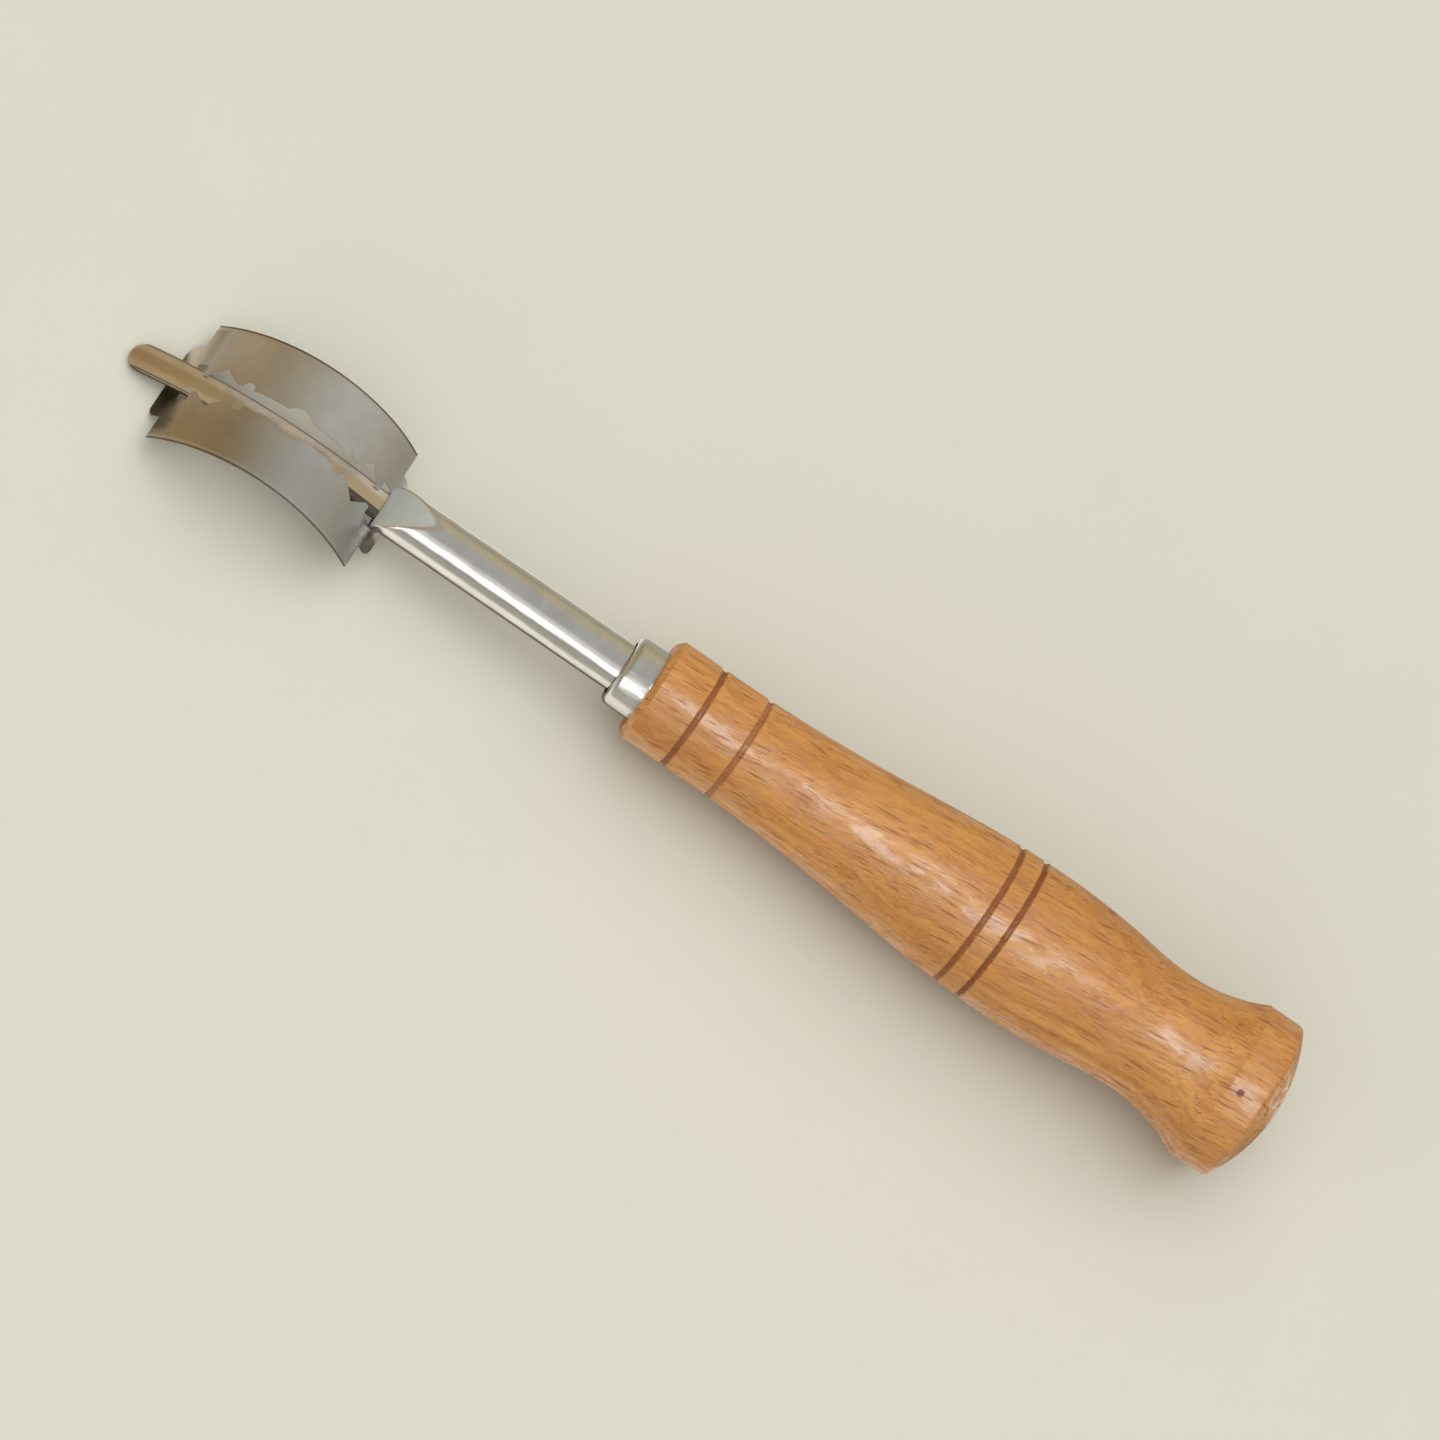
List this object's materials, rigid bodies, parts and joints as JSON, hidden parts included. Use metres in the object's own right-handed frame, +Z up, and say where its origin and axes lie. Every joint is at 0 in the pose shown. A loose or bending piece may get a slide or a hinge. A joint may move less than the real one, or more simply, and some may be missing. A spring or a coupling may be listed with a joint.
{
  "type": "bread lame",
  "caption": "Bread scoring lame with a turned beech handle, chromed ferrule and shank, and a bowed tongue that carries a double-edge razor blade.",
  "frame": {"origin": "on the surface that the tool lies on, under the middle of its outline box", "axes": "+X towards the handle's butt, -X towards the blade, +Z up and to the convex side of the blade. The tool rests on the swell of its handle and the blade's front tab, so its axis is nose down by about 2.4 degrees"},
  "size_m": [0.1946, 0.0254, 0.026],
  "materials": {
    "beech": "orange-tan beech with short dark flecks, satin lacquer, four burnt brown grooves",
    "ferrule_chrome": "bright nickel-chrome plate",
    "shank_chrome": "bright chrome plate on a polished rod",
    "tongue_steel": "plated strip, satin",
    "blade_steel": "stainless strip, satin, with ground edges"
  },
  "bodies": {
    "tool": {"beech_handle": "beech", "front_ferrule": "ferrule_chrome", "steel_shank": "shank_chrome", "blade_tongue": "tongue_steel"},
    "blade": {"razor_blade": "blade_steel"}
  },
  "joints": [
    {"name": "blade_slide", "type": "hinge", "parent": "tool", "child": "blade", "pos_m": [-0.06529, 0, -0.07834], "axis": [0, -1, 0], "range_deg": [0, 7]}
  ]
}
